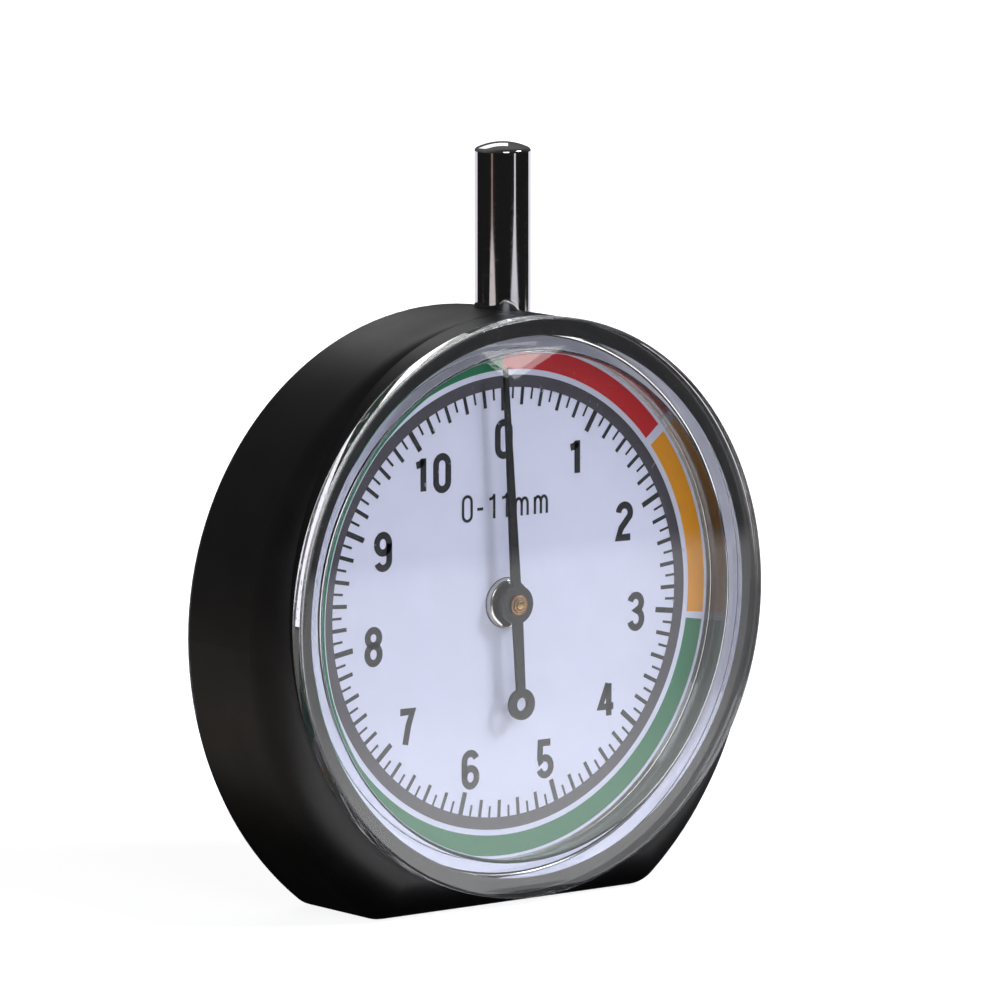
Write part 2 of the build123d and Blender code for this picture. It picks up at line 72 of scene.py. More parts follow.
DIAL_CENTRE = Vector(joints["pointer_turn"]["pos_m"])
DIAL_FACE = dial_low.y

# Crystal, from its box and these walls.
CRYSTAL_RADIUS = (crystal_high.x - crystal_low.x) / 2
CRYSTAL_BORE = 18.6 * MM
SPIGOT_RADIUS = 19.6 * MM
CRYSTAL_PANE = 1.5 * MM
CRYSTAL_FLANGE = 1.2 * MM
CRYSTAL_EDGE = 0.25 * MM
AIR_GAP = 0.02 * MM                    # under the crystal, where it only rests on the case

SUPPORT = 0.02 * MM                    # from a rounding to the point that keeps its side flat

# Printing on the dial.
PRINT_LIFT = 0.015 * MM
PRINT_TURN = radians(0.88)             # the whole scale sits slightly anticlockwise
SCALE_MAX = 11
TICK_OUTER = 15.6 * MM
MAJOR_TICK = (1.64 * MM, 0.40 * MM)    # length, width
MEDIUM_TICK = (1.26 * MM, 0.29 * MM)
SHORT_TICK = (0.82 * MM, 0.18 * MM)
GREY_RING = (15.6 * MM, 16.5 * MM)
COLOUR_RING = (16.92 * MM, 18.42 * MM)
RED_SPAN = (0.0, 1.55)
AMBER_SPAN = (1.62, 3.0)
GREEN_SPAN = (3.05, 11.0)
NUMERAL_RADIUS = 12.1 * MM
NUMERAL_DROP = 0.2 * MM               # the numerals sit this much low on the dial
NUMERAL_HEIGHT = 2.9 * MM
RANGE_HEIGHT = 2.0 * MM
RANGE_DROP = 7.1 * MM                  # of the range's middle above the dial's centre


# ------------------------------------------------------------------ small helpers
def link(obj):
    scene.collection.objects.link(obj)
    return obj


def on_dial(radius, units):
    """A point on the dial's face, at a reading of the scale, clockwise from the top."""
    angle = PRINT_TURN * -1 + tau * units / SCALE_MAX
    return Vector((radius * sin(angle), 0, radius * cos(angle)))


def mesh_object(name, bm, materials, smooth_angle=None):
    """An object of a finished bmesh, with its materials."""
    mesh = bpy.data.meshes.new(name)
    bmesh.ops.recalc_face_normals(bm, faces=bm.faces)
    bm.to_mesh(mesh)
    bm.free()
    for material in materials:
        mesh.materials.append(material)
    obj = link(bpy.data.objects.new(name, mesh))
    if smooth_angle is not None:
        mesh.shade_smooth()
        mesh.set_sharp_from_angle(angle=smooth_angle)
    return obj


def lathe(name, profile, place, material, segments=192, smooth_angle=radians(35)):
    """A closed profile of (radius, height) points turned about the Z axis of the matrix place."""
    bm = bmesh.new()
    rings = []
    for i in range(segments):
        turn = tau * i / segments
        rings.append(
            [bm.verts.new(place @ Vector((r * cos(turn), r * sin(turn), h))) for r, h in profile]
        )
    for i in range(segments):
        here, there = rings[i], rings[(i + 1) % segments]
        for k in range(len(profile)):
            following = (k + 1) % len(profile)
            bm.faces.new((here[k], here[following], there[following], there[k]))
    bmesh.ops.remove_doubles(bm, verts=bm.verts, dist=1e-8)
    return mesh_object(name, bm, [material], smooth_angle)


def round_corner(corner, before, after, radius, steps=6):
    """Points of an arc that rounds the corner of a profile.

    A point SUPPORT beyond each end keeps the shading of the straight parts flat.
    """
    corner, before, after = Vector(corner), Vector(before), Vector(after)
    first = (before - corner).normalized()
    second = (after - corner).normalized()
    half = first.angle(second) / 2
    reach = radius / max(1e-9, abs(sin(half) / cos(half)))
    start = corner + first * reach
    end = corner + second * reach
    centre = corner + (first + second).normalized() * (radius / sin(half))
    a0 = atan2(start.y - centre.y, start.x - centre.x)
    a1 = atan2(end.y - centre.y, end.x - centre.x)
    sweep = (a1 - a0 + pi) % tau - pi
    angles = [a0 + sweep * i / steps for i in range(steps + 1)]
    rounding = [(centre.x + radius * cos(a), centre.y + radius * sin(a)) for a in angles]
    return [tuple(start + first * SUPPORT), *rounding, tuple(end + second * SUPPORT)]


def rounded_profile(points):
    """A closed profile from (radius, height, rounding) corners."""
    flat = []
    for i, (r, h, rounding) in enumerate(points):
        if not rounding:
            flat.append((r, h))
            continue
        before = points[i - 1][:2]
        after = points[(i + 1) % len(points)][:2]
        flat.extend(round_corner((r, h), before, after, rounding))
    return flat


# ------------------------------------------------------------------ materials
def new_material(name):
    material = bpy.data.materials.new(name)
    material.use_nodes = True
    tree = material.node_tree
    return material, tree, tree.nodes["Principled BSDF"]


def noise(tree, scale, detail=4.0, rough=0.55, stretch=(1, 1, 1)):
    """Noise in object space. scale is in cycles per metre."""
    coords = tree.nodes.new("ShaderNodeTexCoord")
    mapping = tree.nodes.new("ShaderNodeMapping")
    mapping.inputs["Scale"].default_value = stretch
    texture = tree.nodes.new("ShaderNodeTexNoise")
    texture.inputs["Scale"].default_value = scale
    texture.inputs["Detail"].default_value = detail
    texture.inputs["Roughness"].default_value = rough
    tree.links.new(coords.outputs["Object"], mapping.inputs["Vector"])
    tree.links.new(mapping.outputs["Vector"], texture.inputs["Vector"])
    return texture.outputs["Fac"]


def spread(tree, value, low, high, out_low, out_high):
    """value mapped from low..high to out_low..out_high, clamped."""
    node = tree.nodes.new("ShaderNodeMapRange")
    node.inputs["From Min"].default_value = low
    node.inputs["From Max"].default_value = high
    node.inputs["To Min"].default_value = out_low
    node.inputs["To Max"].default_value = out_high
    tree.links.new(value, node.inputs["Value"])
    return node.outputs["Result"]


def mix_colour(tree, factor, first, second):
    node = tree.nodes.new("ShaderNodeMix")
    node.data_type = "RGBA"
    tree.links.new(factor, node.inputs["Factor"])
    for socket, value in zip((node.inputs["A"], node.inputs["B"]), (first, second)):
        if isinstance(value, tuple):
            socket.default_value = (*value, 1)
        else:
            tree.links.new(value, socket)
    return node.outputs["Result"]


def combined(tree, operation, first, second):
    node = tree.nodes.new("ShaderNodeMath")
    node.operation = operation
    tree.links.new(first, node.inputs[0])
    tree.links.new(second, node.inputs[1])
    return node.outputs["Value"]


def most(tree, first, second):
    return combined(tree, "MAXIMUM", first, second)


def bump(tree, shader, height, distance, strength=1.0):
    node = tree.nodes.new("ShaderNodeBump")
    node.inputs["Distance"].default_value = distance
    node.inputs["Strength"].default_value = strength
    tree.links.new(height, node.inputs["Height"])
    tree.links.new(node.outputs["Normal"], shader.inputs["Normal"])


def moulded_black(name, colour, roughness, grain):
    """Satin black moulding: fine grain, faint handling marks, uneven gloss."""
    material, tree, shader = new_material(name)
    shader.inputs["Specular IOR Level"].default_value = 0.36
    lighter = tuple(c * 1.6 + 0.002 for c in colour)
    clouds = noise(tree, 240, 5)
    tree.links.new(
        mix_colour(tree, spread(tree, clouds, 0.35, 0.7, 0, 1), colour, lighter),
        shader.inputs["Base Color"],
    )
    handled = noise(tree, 90, 6, 0.65)
    tree.links.new(
        spread(tree, handled, 0.3, 0.7, roughness - 0.05, roughness + 0.07),
        shader.inputs["Roughness"],
    )
    bump(tree, shader, noise(tree, 5200, 3, 0.6), grain, 0.35)
    return material


def polished_plating(name, colour, roughness=0.045):
    """Bright plating over turned metal: a soft haze, hairlines round the turning, pits."""
    material, tree, shader = new_material(name)
    shader.inputs["Metallic"].default_value = 1.0
    haze = noise(tree, 300, 5, 0.6)
    darker = tuple(c * 0.86 for c in colour)
    tree.links.new(
        mix_colour(tree, spread(tree, haze, 0.35, 0.7, 0, 1), darker, colour),
        shader.inputs["Base Color"],
    )
    hairlines = noise(tree, 900, 2, 0.5, (1, 1, 6))
    tree.links.new(
        spread(tree, most(tree, haze, hairlines), 0.55, 0.85, roughness, roughness + 0.08),
        shader.inputs["Roughness"],
    )
    bump(tree, shader, noise(tree, 700, 3, 0.5), 0.002 * MM, 0.3)
    return material


def ground_metal(name, colour, roughness, stretch):
    """Steel or brass as machined: fine tool lines one way, stains."""
    material, tree, shader = new_material(name)
    shader.inputs["Metallic"].default_value = 1.0
    stains = noise(tree, 420, 5, 0.6)
    darker = tuple(c * 0.72 for c in colour)
    tree.links.new(
        mix_colour(tree, spread(tree, stains, 0.3, 0.65, 0, 1), darker, colour),
        shader.inputs["Base Color"],
    )
    lines = noise(tree, 2600, 3, 0.6, stretch)
    tree.links.new(
        spread(tree, lines, 0.3, 0.7, roughness - 0.07, roughness + 0.1),
        shader.inputs["Roughness"],
    )
    bump(tree, shader, lines, 0.004 * MM, 0.4)
    return material


def clear_moulding(name):
    """Polished clear acrylic with faint ripples, rubbed hairlines and specks of dust."""
    material, tree, shader = new_material(name)
    shader.inputs["Base Color"].default_value = (0.985, 0.99, 0.99, 1)
    shader.inputs["Transmission Weight"].default_value = 1.0
    shader.inputs["IOR"].default_value = 1.49
    specks = spread(tree, noise(tree, 2600, 1, 0.3), 0.775, 0.79, 0, 0.22)
    scratches = spread(tree, noise(tree, 500, 2, 0.4, (1, 1, 14)), 0.765, 0.775, 0, 0.14)
    rubbed = spread(tree, noise(tree, 500, 2, 0.4, (14, 1, 1)), 0.77, 0.78, 0, 0.14)
    marks = most(tree, specks, most(tree, scratches, rubbed))
    tree.links.new(marks, shader.inputs["Roughness"])
    bump(tree, shader, noise(tree, 110, 1, 0.3), 0.003 * MM, 0.15)
    return material


def lacquered_dial(name, colour):
    """Smooth white lacquer with a very faint mottling and a satin gloss."""
    material, tree, shader = new_material(name)
    mottled = noise(tree, 500, 5, 0.6)
    dimmer = tuple(c * 0.965 for c in colour)
    tree.links.new(
        mix_colour(tree, spread(tree, mottled, 0.35, 0.65, 0, 1), dimmer, colour),
        shader.inputs["Base Color"],
    )
    tree.links.new(spread(tree, mottled, 0.3, 0.7, 0.36, 0.5), shader.inputs["Roughness"])
    bump(tree, shader, noise(tree, 3000, 2, 0.5), 0.002 * MM, 0.2)
    return material


def ink(name, colour):
    """Screen-printed ink: slightly uneven density and a fine raised grain."""
    material, tree, shader = new_material(name)
    density = noise(tree, 2600, 4, 0.65)
    thinner = tuple(c * 0.8 + 0.035 for c in colour)
    tree.links.new(
        mix_colour(tree, spread(tree, density, 0.55, 0.8, 0, 1), colour, thinner),
        shader.inputs["Base Color"],
    )
    tree.links.new(spread(tree, density, 0.3, 0.7, 0.38, 0.55), shader.inputs["Roughness"])
    bump(tree, shader, density, 0.004 * MM, 0.3)
    return material


def painted_hand(name, colour):
    """Thin black paint on the pointer: satin, with rubbed spots."""
    material, tree, shader = new_material(name)
    rubbed = noise(tree, 1300, 5, 0.7)
    tree.links.new(
        mix_colour(tree, spread(tree, rubbed, 0.58, 0.72, 0, 1), colour, (0.10, 0.095, 0.09)),
        shader.inputs["Base Color"],
    )
    tree.links.new(spread(tree, rubbed, 0.3, 0.7, 0.3, 0.5), shader.inputs["Roughness"])
    bump(tree, shader, noise(tree, 3500, 3, 0.6), 0.004 * MM, 0.4)
    return material


CASE_BLACK = moulded_black("moulded_case", (0.0085, 0.0080, 0.0086), 0.44, 0.008 * MM)
COVER_BLACK = moulded_black("moulded_cover", (0.008, 0.0078, 0.0082), 0.46, 0.010 * MM)
ROD_CHROME = polished_plating("plated_rod", (0.66, 0.65, 0.66))
BUSH_CHROME = polished_plating("plated_bush", (0.70, 0.67, 0.63), 0.08)
STEEL = ground_metal("ground_steel", (0.56, 0.56, 0.57), 0.3, (6, 6, 1))
SCREW_STEEL = ground_metal("plated_screws", (0.55, 0.55, 0.58), 0.26, (1, 8, 1))
SPRING_STEEL = ground_metal("drawn_wire", (0.42, 0.42, 0.43), 0.28, (1, 1, 1))
BRASS = ground_metal("turned_brass", (0.76, 0.55, 0.24), 0.27, (1, 8, 1))
TIP_BRASS = ground_metal("turned_tip", (0.52, 0.34, 0.15), 0.3, (1, 8, 1))
COPPER = ground_metal("riveted_bush", (0.40, 0.21, 0.11), 0.34, (1, 8, 1))
CRYSTAL = clear_moulding("clear_acrylic")
DIAL_WHITE = lacquered_dial("dial_lacquer", (0.70, 0.71, 0.87))
BLACK_INK = ink("black_ink", (0.012, 0.012, 0.016))
GREY_INK = ink("grey_ink", (0.062, 0.056, 0.072))
RED_INK = ink("red_ink", (0.60, 0.010, 0.018))
AMBER_INK = ink("amber_ink", (0.86, 0.34, 0.010))
GREEN_INK = ink("green_ink", (0.005, 0.17, 0.07))
POINTER_BLACK = painted_hand("pointer_paint", (0.012, 0.012, 0.013))

FINISHES = {
    "case_black": CASE_BLACK,
    "cover_black": COVER_BLACK,
    "crystal_clear": CRYSTAL,
    "dial_white": DIAL_WHITE,
    "bush_chrome": BUSH_CHROME,
    "plunger_chrome": ROD_CHROME,
    "steel": STEEL,
    "screw_steel": SCREW_STEEL,
    "spring_steel": SPRING_STEEL,
    "brass": BRASS,
    "pointer_black": POINTER_BLACK,
}
for node in frame["nodes"].values():
    for slot in node.material_slots:
        slot.material = FINISHES[slot.material.name]


# ------------------------------------------------------------------ crystal
def along_minus_y(centre):
    """A frame at centre whose Z axis points at the viewer of the dial, which is -Y."""
    return Matrix.Translation(centre) @ Matrix.Rotation(radians(90), 4, "X")


front = -crystal_low.y
back = -crystal_high.y + AIR_GAP
flange_back = front - CRYSTAL_FLANGE + AIR_GAP
pane_back = front - CRYSTAL_PANE
crystal_profile = rounded_profile(
    [
        (0, front, 0),
        (CRYSTAL_RADIUS, front, CRYSTAL_EDGE),
        (CRYSTAL_RADIUS, flange_back, 0.12 * MM),
        (SPIGOT_RADIUS, flange_back, 0),
        (SPIGOT_RADIUS, back, 0.1 * MM),
        (CRYSTAL_BORE, back, 0.1 * MM),
        (CRYSTAL_BORE, pane_back, 0.3 * MM),
        (0, pane_back, 0),
    ]
)
crystal_place = along_minus_y(Vector((DIAL_CENTRE.x, 0, DIAL_CENTRE.z)))
crystal = lathe("crystal_moulding", crystal_profile, crystal_place, CRYSTAL, 256)
crystal.visible_shadow = False         # lamps reach the dial through the clear crystal
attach(crystal, "case")
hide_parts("crystal")

# ------------------------------------------------------------------ plunger rod
rod_radius = (rod_high.x - rod_low.x) / 2
rod_axis = Vector(((rod_high.x + rod_low.x) / 2, (rod_high.y + rod_low.y) / 2, 0))
DOME = 0.5 * MM
SHOULDER = 0.32 * MM
SOCKET_RADIUS = 1.11 * MM
SOCKET_DEPTH = 3.21 * MM
dome_steps = 8
sphere = (rod_radius**2 + DOME**2) / (2 * DOME)
dome = []
for i in range(dome_steps + 1):
    r = rod_radius * i / dome_steps
    dome.append((r, rod_high.z - sphere + (sphere**2 - r**2) ** 0.5))
rim = dome.pop()
rod_profile = (
    dome
    + round_corner(rim, dome[-1], (rim[0], rod_low.z), SHOULDER, 6)
    + [(rod_radius, rod_low.z), (SOCKET_RADIUS, rod_low.z)]
    + [(SOCKET_RADIUS, rod_low.z + SOCKET_DEPTH), (0, rod_low.z + SOCKET_DEPTH)]
)
rod = lathe("plunger_rod_plated", rod_profile, Matrix.Translation(rod_axis), ROD_CHROME, 128)
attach(rod, "plunger")
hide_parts("plunger_rod")

# ------------------------------------------------------------------ arbor and its bush
ARBOR_RADIUS = 0.5 * MM
ARBOR_SHOULDER = 0.8 * MM
PIN_RADIUS = 0.30 * MM                 # of the turned tip inside its groove
TIP_GROOVE = 0.14 * MM                 # depth of the groove round the tip
arbor_front = -arbor_low.y
arbor_back = -arbor_high.y
shoulder_front = -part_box("front_bush")[1].y - 0.08 * MM
shoulder_back = -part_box("rear_bush")[0].y + 0.08 * MM
arbor_profile = rounded_profile(
    [
        (0, arbor_back, 0),
        (ARBOR_RADIUS, arbor_back, 0.06 * MM),
        (ARBOR_RADIUS, shoulder_back, 0),
        (ARBOR_SHOULDER, shoulder_back, 0.05 * MM),
        (ARBOR_SHOULDER, shoulder_front, 0.05 * MM),
        (ARBOR_RADIUS, shoulder_front, 0),
        (ARBOR_RADIUS, arbor_front - 0.1 * MM, 0.04 * MM),
        (PIN_RADIUS + 0.09 * MM, arbor_front - 0.1 * MM, 0),
        (PIN_RADIUS + 0.05 * MM, arbor_front - TIP_GROOVE - 0.06 * MM, 0),
        (PIN_RADIUS, arbor_front - 0.04 * MM, 0),
        (PIN_RADIUS * 0.7, arbor_front, 0),
        (0, arbor_front, 0),
    ]
)
turned = lathe("arbor_turned", arbor_profile, crystal_place, TIP_BRASS, 64)
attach(turned, "pointer_arbor")
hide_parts("arbor")

bush_low, bush_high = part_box("pointer_bush")
bush_front = -bush_low.y
bush_back = -bush_high.y
bush_radius = (bush_high.x - bush_low.x) / 2
BUSH_BORE = ARBOR_RADIUS + 0.01 * MM
bush_profile = rounded_profile(
    [
        (BUSH_BORE, bush_back, 0),
        (bush_radius, bush_back, 0),
        (bush_radius, bush_front, 0.11 * MM),
        (BUSH_BORE, bush_front, 0.11 * MM),
    ]
)
rivet = lathe("pointer_bush_riveted", bush_profile, crystal_place, COPPER, 64)
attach(rivet, "pointer_arbor")
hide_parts("pointer_bush")

# ------------------------------------------------------------------ return spring
SPRING_TURNS = 10
WIRE_RADIUS = 0.15 * MM
STEPS_PER_TURN = 40
WIRE_SIDES = 14
coil_radius = (spring_high.x - spring_low.x) / 2 - WIRE_RADIUS
coil_start = spring_low.z + WIRE_RADIUS
coil_rise = spring_high.z - spring_low.z - 2 * WIRE_RADIUS
bm = bmesh.new()
loops = []
count = SPRING_TURNS * STEPS_PER_TURN
for i in range(count + 1):
    turn = tau * i / STEPS_PER_TURN
    outward = Vector((cos(turn), sin(turn), 0))
    centre = rod_axis + outward * coil_radius
    centre.z = coil_start + coil_rise * i / count
    slope = Vector((-sin(turn), cos(turn), coil_rise / SPRING_TURNS / (tau * coil_radius)))
    side = slope.normalized().cross(outward)
    loops.append(
        [
            bm.verts.new(
                centre
                + outward * WIRE_RADIUS * cos(tau * k / WIRE_SIDES)
                + side * WIRE_RADIUS * sin(tau * k / WIRE_SIDES)
            )
            for k in range(WIRE_SIDES)
        ]
    )
for here, there in zip(loops, loops[1:]):
    for k in range(WIRE_SIDES):
        following = (k + 1) % WIRE_SIDES
        bm.faces.new((here[k], here[following], there[following], there[k]))
bm.faces.new(loops[0])
bm.faces.new(loops[-1])
spring = mesh_object("return_spring_wire", bm, [SPRING_STEEL], radians(50))
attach(spring, "case")
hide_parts("return_spring")
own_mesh(spring)

# ------------------------------------------------------------------ printing on the dial
PRINT_INKS = [BLACK_INK, GREY_INK, RED_INK, AMBER_INK, GREEN_INK]
INK_OF = {material: i for i, material in enumerate(PRINT_INKS)}
print_bm = bmesh.new()


def print_shape(points, material):
    """A flat shape of the printing, from points round the dial's centre."""
    verts = [
        print_bm.verts.new((DIAL_CENTRE.x + p.x, DIAL_FACE - PRINT_LIFT, DIAL_CENTRE.z + p.z))
        for p in points
    ]
    face = print_bm.faces.new(verts)
    face.material_index = INK_OF[material]
    return face


def print_sector(inner, outer, start, end, material, steps_per_unit=18):
    """Part of a ring, between two readings of the scale."""
    steps = max(1, round((end - start) * steps_per_unit))
    for i in range(steps):
        a = start + (end - start) * i / steps
        b = start + (end - start) * (i + 1) / steps
        print_shape(
            [on_dial(inner, a), on_dial(outer, a), on_dial(outer, b), on_dial(inner, b)], material
        )


def print_tick(reading, length, width):
    """A radial mark that ends at the grey ring."""
    outer = on_dial(TICK_OUTER + 0.01 * MM, reading)
    inner = on_dial(TICK_OUTER - length, reading)
    across = outer.normalized().cross(Vector((0, 1, 0))) * (width / 2)
    print_shape([inner - across, outer - across, outer + across, inner + across], BLACK_INK)


for tenth in range(SCALE_MAX * 10):
    if tenth % 10 == 0:
        print_tick(tenth / 10, *MAJOR_TICK)
    elif tenth % 2 == 0:
        print_tick(tenth / 10, *MEDIUM_TICK)
    else:
        print_tick(tenth / 10, *SHORT_TICK)
print_sector(*GREY_RING, 0, SCALE_MAX, GREY_INK)
print_sector(*COLOUR_RING, *RED_SPAN, RED_INK)
print_sector(*COLOUR_RING, *AMBER_SPAN, AMBER_INK)
print_sector(*COLOUR_RING, *GREEN_SPAN, GREEN_INK)


# Glyphs are strokes along the middle of the line, in a box one unit high.
def arc(x, y, rx, ry, start, end, steps=12):
    """Points of an elliptical arc, from angle start to end in degrees."""
    angles = [radians(start + (end - start) * i / steps) for i in range(steps + 1)]
    return [(x + rx * cos(a), y + ry * sin(a)) for a in angles]


def glyph_strokes(character, half, top):
    """Strokes of a character whose middle line reaches half to each side and top up and down."""
    bowl = half * 1.05
    waist = 0.03
    lower = (top + waist) / 2
    upper = (top - waist) / 2
    ring = arc(0, top - bowl, half, bowl, 0, 180) + arc(0, bowl - top, half, bowl, 180, 360)
    six = arc(0, lower - top, half, lower, 0, 360, 28)
    return {
        "0": [ring + ring[:1]],
        "1": [[(0.3 * half, -top), (0.3 * half, top)],
              [(0.3 * half, top * 0.86), (-0.15 * half, top * 0.66), (-0.85 * half, top * 0.6)]],
        "2": [arc(0, top - bowl, half, bowl, 175, -25)
              + [(-0.55 * half, -0.42 * top), (-half, -top), (half, -top)]],
        "3": [arc(0, top - upper, half * 0.95, upper, 165, -90)
              + arc(0, lower - top, half, lower, 90, -165)[1:]],
        "4": [[(half * 1.2, -0.42 * top), (-half, -0.42 * top), (half * 0.3, top)],
              [(half * 0.42, top), (half * 0.42, -top)]],
        "5": [[(half * 0.9, top), (-0.75 * half, top), (-0.85 * half, 0.02)]
              + arc(0, -0.47 * top, half, 0.53 * top, 140, -160)],
        "6": [six, arc(0, top - bowl, half, bowl, 20, 180) + [(-half, lower - top)]],
        "7": [[(-half, top), (half, top), (0.35 * half, 0.2 * top), (-0.2 * half, -top)]],
        "8": [arc(0, top - upper, half * 0.94, upper, -90, 270, 28),
              arc(0, lower - top, half, lower, -270, 90, 28)],
        "9": [[(-x, -y) for x, y in six],
              [(-x, -y) for x, y in arc(0, top - bowl, half, bowl, 20, 180)] + [(half, top - lower)]],
        "-": [[(-half * 0.7, -0.12 * top), (half * 0.7, -0.12 * top)]],
        "m": [[(-1.4 * half, -top), (-1.4 * half, 0.42 * top)],
              arc(-0.7 * half, -0.05 * top, 0.7 * half, 0.47 * top, 180, 0) + [(0, -top)],
              arc(0.7 * half, -0.05 * top, 0.7 * half, 0.47 * top, 180, 0) + [(1.4 * half, -top)]],
    }[character]


def print_stroke(points, width, centre):
    """A ribbon of ink along points, with square ends and mitred bends."""
    points = [Vector((x, 0, z)) for x, z in points]
    sides = []
    for i, point in enumerate(points):
        before = (point - points[i - 1]).normalized() if i else None
        after = (points[i + 1] - point).normalized() if i + 1 < len(points) else None
        if before is None or after is None:
            along = after or before
            reach = 1.0
        else:
            along = (before + after).normalized()
            reach = min(1.6, 1 / max(0.3, along.dot(after)))
        across = Vector((-along.z, 0, along.x)) * (width / 2 * reach)
        sides.append((centre + point - across, centre + point + across))
    for (a, b), (c, d) in zip(sides, sides[1:]):
        print_shape([a, b, d, c], BLACK_INK)


M_SHARE = 1.6                          # an m is this much wider than a numeral


def print_text(words, height, centre, wide, weight, spacing):
    """Characters side by side, centred at a point. wide, weight and spacing are shares of height."""
    steps = [(M_SHARE if c == "m" else 1.0) * wide + spacing for c in words]
    x = -(sum(steps) - spacing) / 2
    for character, step in zip(words, steps):
        middle = x + (step - spacing) / 2
        x += step
        place = centre + Vector((middle * height, 0, 0))
        for stroke in glyph_strokes(character, (wide - weight) / 2, (1 - weight) / 2):
            scaled = [(px * height, pz * height) for px, pz in stroke]
            print_stroke(scaled, weight * height, place)


for reading in range(SCALE_MAX):
    place = on_dial(NUMERAL_RADIUS, reading) - Vector((0, 0, NUMERAL_DROP))
    print_text(str(reading), NUMERAL_HEIGHT, place, 0.56, 0.18, 0.08)
print_text("0-11mm", RANGE_HEIGHT, Vector((0, 0, RANGE_DROP)), 0.50, 0.11, 0.08)

printing = mesh_object("dial_printing", print_bm, PRINT_INKS)
for polygon in printing.data.polygons:
    if polygon.normal.y > 0:
        polygon.flip()
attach(printing, "case")

# ------------------------------------------------------------------ camera
CAMERA_PLACE = Vector((-0.36611, -0.47249, 0.11015))
CAMERA_YAW = radians(37.96)
CAMERA_PITCH = radians(7.74)           # downwards
camera = link(bpy.data.objects.new("camera", bpy.data.cameras.new("camera")))
camera.location = CAMERA_PLACE
camera.rotation_euler = (radians(90) - CAMERA_PITCH, 0, -CAMERA_YAW)
camera.data.sensor_width = 36
camera.data.lens = 300.31
camera.data.clip_start = 0.01
camera.data.clip_end = 20
scene.camera = camera

# ------------------------------------------------------------------ studio
scene.view_settings.view_transform = "Standard"
# Light runs a long way inside the crystal, so it gets many bounces.
scene.cycles.max_bounces = 40
scene.cycles.glossy_bounces = 40
scene.cycles.transmission_bounces = 40
FLOOR_SIZE = 6.0
CARD_LIFT = 0.0005


def flat_sheet(name, corners, height, material):
    bm = bmesh.new()
    bm.faces.new([bm.verts.new((x, y, height)) for x, y in corners])
    sheet = mesh_object(name, bm, [material])
    return sheet


floor_paint, tree, shader = new_material("pale_floor")
shader.inputs["Base Color"].default_value = (0.5, 0.5, 0.5, 1)
shader.inputs["Roughness"].default_value = 0.9
shader.inputs["Specular IOR Level"].default_value = 0.0
shader.inputs["Emission Color"].default_value = (1, 1, 1, 1)
shader.inputs["Emission Strength"].default_value = 0.9
dim = tree.nodes.new("ShaderNodeEmission")
dim.inputs["Strength"].default_value = 0.015
path = tree.nodes.new("ShaderNodeLightPath")
switch = tree.nodes.new("ShaderNodeMixShader")
tree.links.new(path.outputs["Is Camera Ray"], switch.inputs["Fac"])
tree.links.new(dim.outputs["Emission"], switch.inputs[1])
tree.links.new(shader.outputs["BSDF"], switch.inputs[2])
tree.links.new(switch.outputs["Shader"], tree.nodes["Material Output"].inputs["Surface"])
half = FLOOR_SIZE / 2
flat_sheet("floor", ((-half, -half), (half, -half), (half, half), (-half, half)), 0, floor_paint)


def glowing_card(name, corners, strength, colour=(1, 1, 1), fade=None, lights=True):
    """A lit sheet just above the floor, hidden from the camera.

    lights tells whether matt surfaces see it too, or only reflections do.
    fade is (y, strength) pairs that the glow follows along Y, in straight runs.
    """
    material, tree, shader = new_material(name)
    shader.inputs["Base Color"].default_value = (0, 0, 0, 1)
    shader.inputs["Emission Color"].default_value = (*colour, 1)
    shader.inputs["Emission Strength"].default_value = strength
    if fade:
        coords = tree.nodes.new("ShaderNodeTexCoord")
        axes = tree.nodes.new("ShaderNodeSeparateXYZ")
        tree.links.new(coords.outputs["Object"], axes.inputs["Vector"])
        (y0, s0), (y1, s1) = fade[:2]
        glow = spread(tree, axes.outputs["Y"], y0, y1, s0, s1)
        for (y0, s0), (y1, s1) in zip(fade[1:], fade[2:]):
            rise = spread(tree, axes.outputs["Y"], y0, y1, 0, s1 - s0)
            glow = combined(tree, "ADD", glow, rise)
        tree.links.new(glow, shader.inputs["Emission Strength"])
    card = flat_sheet(name, corners, CARD_LIFT, material)
    card.visible_camera = False
    card.visible_diffuse = lights
    card.visible_shadow = False
    return card


def toward(azimuth, distance):
    """A point on the floor, azimuth degrees from +Y towards +X."""
    return (distance * sin(radians(azimuth)), distance * cos(radians(azimuth)))


def sector(start, end, near, far):
    return (toward(start, near), toward(start, far), toward(end, far), toward(end, near))


glowing_card(
    "paper_front",
    ((-0.03, -0.152), (0.36, -0.148), (0.36, -0.012), (-0.03, -0.012)),
    1.0,
    fade=((-0.150, 0.0), (-0.138, 0.82), (-0.085, 0.95), (-0.04, 2.0)),
    lights=False,
)
glowing_card("paper_back", sector(-17, 87, 0.06, 2.5), 1.1, (0.94, 0.91, 1.0))
glowing_card(
    "window_glare", ((0.1915, -0.2545), (0.2044, -0.2775), (0.2160, -0.2765)), 4.5, lights=False
)
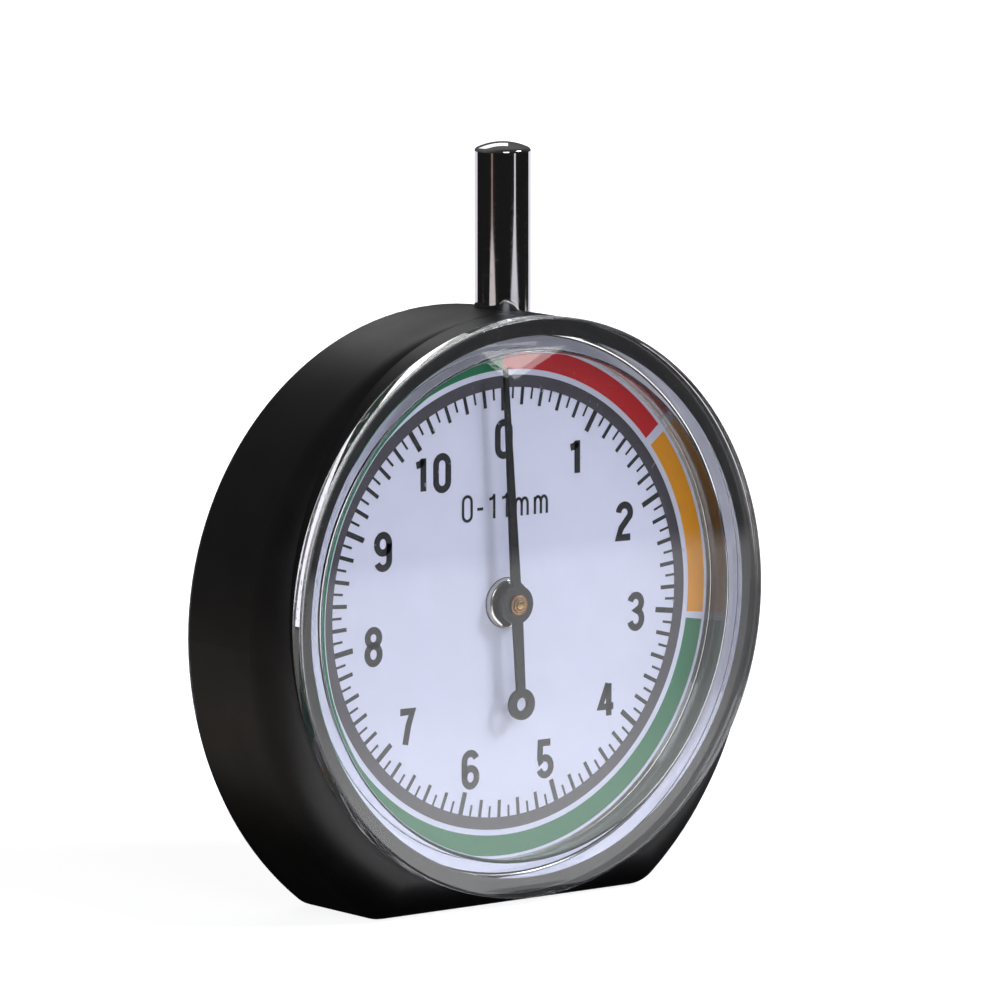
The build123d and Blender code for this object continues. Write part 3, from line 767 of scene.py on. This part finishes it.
# The rod mirrors two tongues of the lit table, one white and one warm, that narrow with distance.
glowing_card(
    "white_tongue",
    (
        toward(146, 0.365), toward(160, 0.44), toward(163, 0.50), toward(163, 1.6),
        toward(170, 1.6), toward(170, 0.50), toward(176, 0.44), toward(189, 0.365),
    ),
    0.95,
    (0.95, 0.94, 1.0),
    lights=False,
)
glowing_card(
    "warm_tongue",
    (
        toward(243, 0.36), toward(252, 0.43), toward(258, 0.46),
        toward(265, 0.46), toward(270, 0.43), toward(275, 0.36),
    ),
    0.85,
    (1.0, 0.93, 0.90),
    lights=False,
)
glowing_card("warm_line", sector(258, 265, 0.46, 1.6), 0.34, (1.0, 0.62, 0.47), lights=False)
glowing_card(
    "table_left",
    ((-0.30, -0.20), (-0.026, -0.10), (-0.026, 0.10), (-0.30, 0.22)),
    0.36,
    (1.0, 0.88, 0.78),
)


def softbox(name, place, target, size, power, colour=(1, 1, 1)):
    light = bpy.data.lights.new(name, "AREA")
    light.shape = "RECTANGLE"
    light.size, light.size_y = size
    light.energy = power
    light.color = colour
    lamp = link(bpy.data.objects.new(name, light))
    lamp.location = place
    lamp.rotation_euler = (Vector(target) - Vector(place)).to_track_quat("-Z", "Y").to_euler()
    lamp.visible_camera = False
    return lamp


aim = (0, 0, 0.025)
softbox("key", (0.30, -0.34, 0.36), aim, (0.14, 0.14), 1.2, (0.87, 0.91, 1.0))
softbox("fill", (-0.25, -0.62, 0.34), aim, (0.30, 0.30), 0.9, (0.87, 0.91, 1.0))
softbox("back_light", (0.28, 0.50, 0.42), aim, (0.26, 0.20), 0.30)

world = bpy.data.worlds.new("studio")
scene.world = world
world.use_nodes = True
tree = world.node_tree
background = tree.nodes["Background"]
background.inputs["Color"].default_value = (1, 1, 1, 1)
coords = tree.nodes.new("ShaderNodeTexCoord")
axes = tree.nodes.new("ShaderNodeSeparateXYZ")
tree.links.new(coords.outputs["Generated"], axes.inputs["Vector"])
overhead = spread(tree, axes.outputs["Z"], -0.05, 0.7, 0.07, 0.16)
behind = spread(tree, axes.outputs["Y"], -0.3, 0.5, 0.3, 1.0)
product = tree.nodes.new("ShaderNodeMath")
product.operation = "MULTIPLY"
tree.links.new(overhead, product.inputs[0])
tree.links.new(behind, product.inputs[1])
path = tree.nodes.new("ShaderNodeLightPath")
switch = tree.nodes.new("ShaderNodeMix")
switch.data_type = "FLOAT"
switch.inputs["B"].default_value = 1.0
tree.links.new(path.outputs["Is Camera Ray"], switch.inputs["Factor"])
tree.links.new(product.outputs["Value"], switch.inputs["A"])
tree.links.new(switch.outputs["Result"], background.inputs["Strength"])
